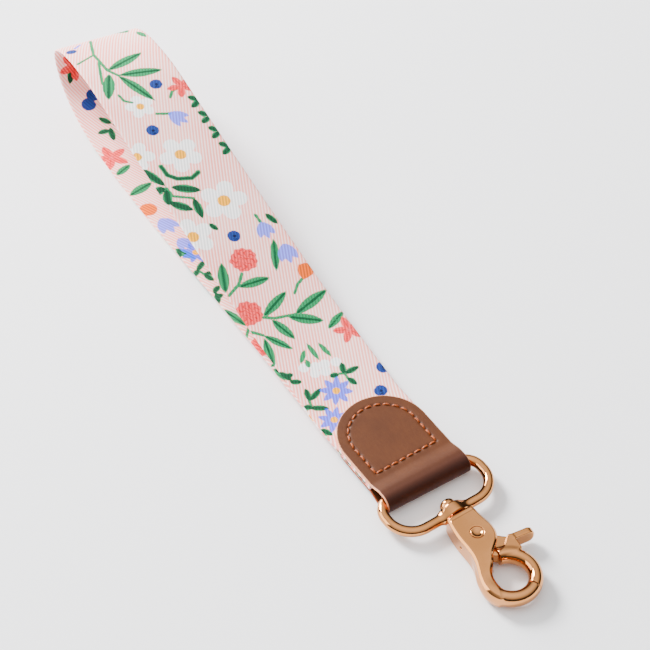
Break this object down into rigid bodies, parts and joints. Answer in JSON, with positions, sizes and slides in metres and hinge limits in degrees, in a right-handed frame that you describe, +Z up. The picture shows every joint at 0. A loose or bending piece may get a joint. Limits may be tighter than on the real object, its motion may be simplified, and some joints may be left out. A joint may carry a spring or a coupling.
{
  "type": "wristlet keychain",
  "caption": "Webbing wrist loop sewn into a round-ended leather tab, with an oval swivel ring and a trigger snap hook.",
  "frame": {"origin": "below the middle of the whole object's bounding box, on the plane it lies on", "axes": "+Y along the strap from the hook to the wrist loop's far end, +X across the strap, +Z up from the plane it lies on"},
  "size_m": [0.0351, 0.2273, 0.0281],
  "materials": {
    "printed_webbing": "woven polyester webbing with a printed floral pattern on both sides",
    "brown_leather": "smooth brown leather with a faint grain and raw cut edges",
    "sewing_thread": "orange-brown bonded thread with a slight sheen",
    "rose_gold": "polished rose gold plate on zinc die casting",
    "spring_steel": "plain drawn wire"
  },
  "bodies": {
    "strap": {"webbing_strap": "printed_webbing", "leather_tab": "brown_leather", "needle_thread": "sewing_thread", "bobbin_thread": "sewing_thread"},
    "ring": {"swivel_ring": "rose_gold"},
    "hook": {"hook_body": "rose_gold", "swivel_rivet": "rose_gold", "gate_rivet": "rose_gold", "gate_spring": "spring_steel"},
    "gate": {"gate_lever": "rose_gold"}
  },
  "joints": [
    {"name": "ring_flap", "type": "hinge", "parent": "strap", "child": "ring", "pos_m": [0, -0.0709, 0.003], "axis": [1, 0, 0], "range_deg": [-100, 100]},
    {"name": "hook_swivel", "type": "hinge", "parent": "ring", "child": "hook", "pos_m": [-0.0011, -0.08285, 0.003], "axis": [0, 1, 0], "continuous": true},
    {"name": "gate_pivot", "type": "hinge", "parent": "hook", "child": "gate", "pos_m": [-0.0011, -0.09235, 0.003], "axis": [0, 0, 1], "range_deg": [0, 25], "stiffness_Nm_per_rad": 0.03, "springref_deg": -17.19, "deforming": ["gate_spring"]}
  ]
}
